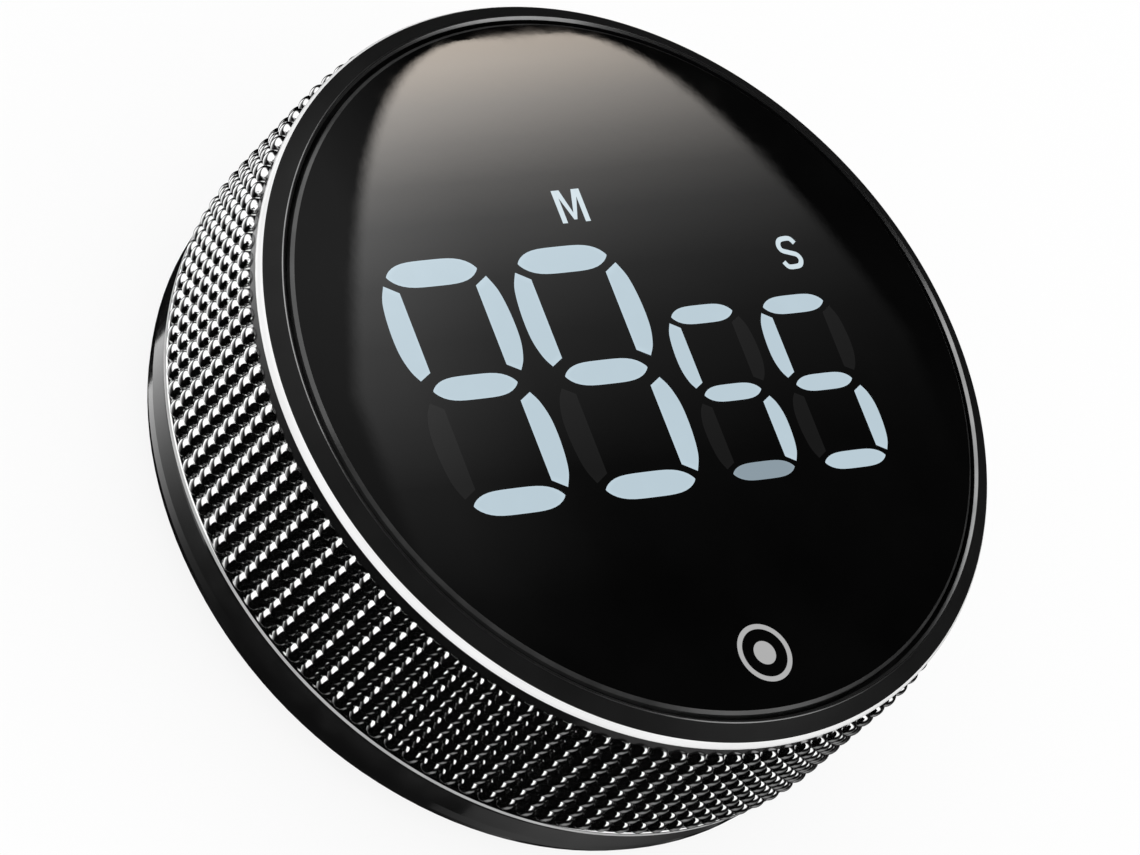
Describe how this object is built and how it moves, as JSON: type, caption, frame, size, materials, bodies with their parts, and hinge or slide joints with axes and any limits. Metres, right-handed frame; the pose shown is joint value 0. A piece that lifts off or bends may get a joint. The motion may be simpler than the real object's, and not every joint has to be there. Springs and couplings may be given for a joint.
{
  "type": "kitchen timer",
  "caption": "Round digital kitchen timer set by turning its knurled metal ring, with a glossy black display that presses as the start key.",
  "frame": {"origin": "on the knob's axis, in the plane of the foot ring's bearing face", "axes": "+Z out of the display, +Y towards the top of the digits, +X to the reader's right"},
  "size_m": [0.078, 0.078, 0.0286],
  "materials": {
    "satin_metal": "satin black anodised",
    "polished_metal": "polished dark chrome",
    "black_plastic": "fine moulded texture",
    "gloss_base": "high gloss",
    "smoked_lens": "polished smoked acrylic",
    "white_plastic": "moulded",
    "diffuser": "translucent",
    "board": "solder mask",
    "component": "moulded",
    "bright_steel": "nickel plated",
    "brass_plate": "bright",
    "rubber_foot": "matt",
    "acetal": "smooth",
    "cell_jacket": "shrink sleeve",
    "adhesive": "matt foam tape"
  },
  "bodies": {
    "case": {"rear_case": "gloss_base", "case_screws": "bright_steel", "foot_ring": "rubber_foot", "magnets": "bright_steel", "volume_switch_body": "bright_steel", "buzzer_case": "component", "buzzer_disc": "brass_plate", "battery_tray": "black_plastic", "battery_cell_1": "cell_jacket", "battery_cell_2": "cell_jacket", "battery_cell_3": "cell_jacket", "battery_bridges": "bright_steel", "battery_terminals": "bright_steel", "power_pins": "bright_steel", "display_housing": "black_plastic", "main_board": "board", "board_screws": "bright_steel", "digit_reflector": "white_plastic", "minutes_tens_diffuser": "diffuser", "minutes_units_diffuser": "diffuser", "seconds_tens_diffuser": "diffuser", "seconds_units_diffuser": "diffuser", "unit_mark_guides": "diffuser", "led_chips": "white_plastic", "diffuser_film": "diffuser", "controller_chip": "component", "chip_components": "component", "key_switch": "component", "encoder_body": "component", "glide_ring": "acetal"},
    "knob": {"knurled_grip": "polished_metal", "knob_bezel": "satin_metal", "knob_liner": "black_plastic"},
    "pinion": {"encoder_pinion": "acetal"},
    "lens_key": {"front_lens": "smoked_lens", "lens_adhesive": "adhesive", "lens_carrier": "black_plastic"},
    "plunger": {"key_plunger": "white_plastic"},
    "slider": {"volume_slider": "white_plastic"},
    "door": {"battery_door": "black_plastic"}
  },
  "joints": [
    {"name": "knob_spin", "type": "hinge", "parent": "case", "child": "knob", "pos_m": [0, 0, 0.0213], "axis": [0, 0, 1], "continuous": true},
    {"name": "pinion_spin", "type": "hinge", "parent": "case", "child": "pinion", "pos_m": [0, 0.0288, 0.0147], "axis": [0, 0, 1], "continuous": true},
    {"name": "lens_press", "type": "hinge", "parent": "case", "child": "lens_key", "pos_m": [0, 0.0334, 0.0252], "axis": [1, 0, 0], "range_deg": [0, 0.27], "stiffness_Nm_per_rad": 14, "springref_deg": -0.17},
    {"name": "plunger_press", "type": "slide", "parent": "case", "child": "plunger", "axis": [0, 0, -1], "range_m": [0, 0.0003]},
    {"name": "volume_slide", "type": "slide", "parent": "case", "child": "slider", "axis": [1, 0, 0], "range_m": [-0.002, 0.002]},
    {"name": "door_tilt", "type": "hinge", "parent": "case", "child": "door", "pos_m": [-0.02562, 0, 0.00108], "axis": [0, 1, 0], "range_deg": [0, 75]}
  ],
  "couplings": [
    {"joint": "pinion_spin", "follows": "knob_spin", "ratio": 7},
    {"joint": "plunger_press", "follows": "lens_press", "m_per_rad": 0.062}
  ]
}
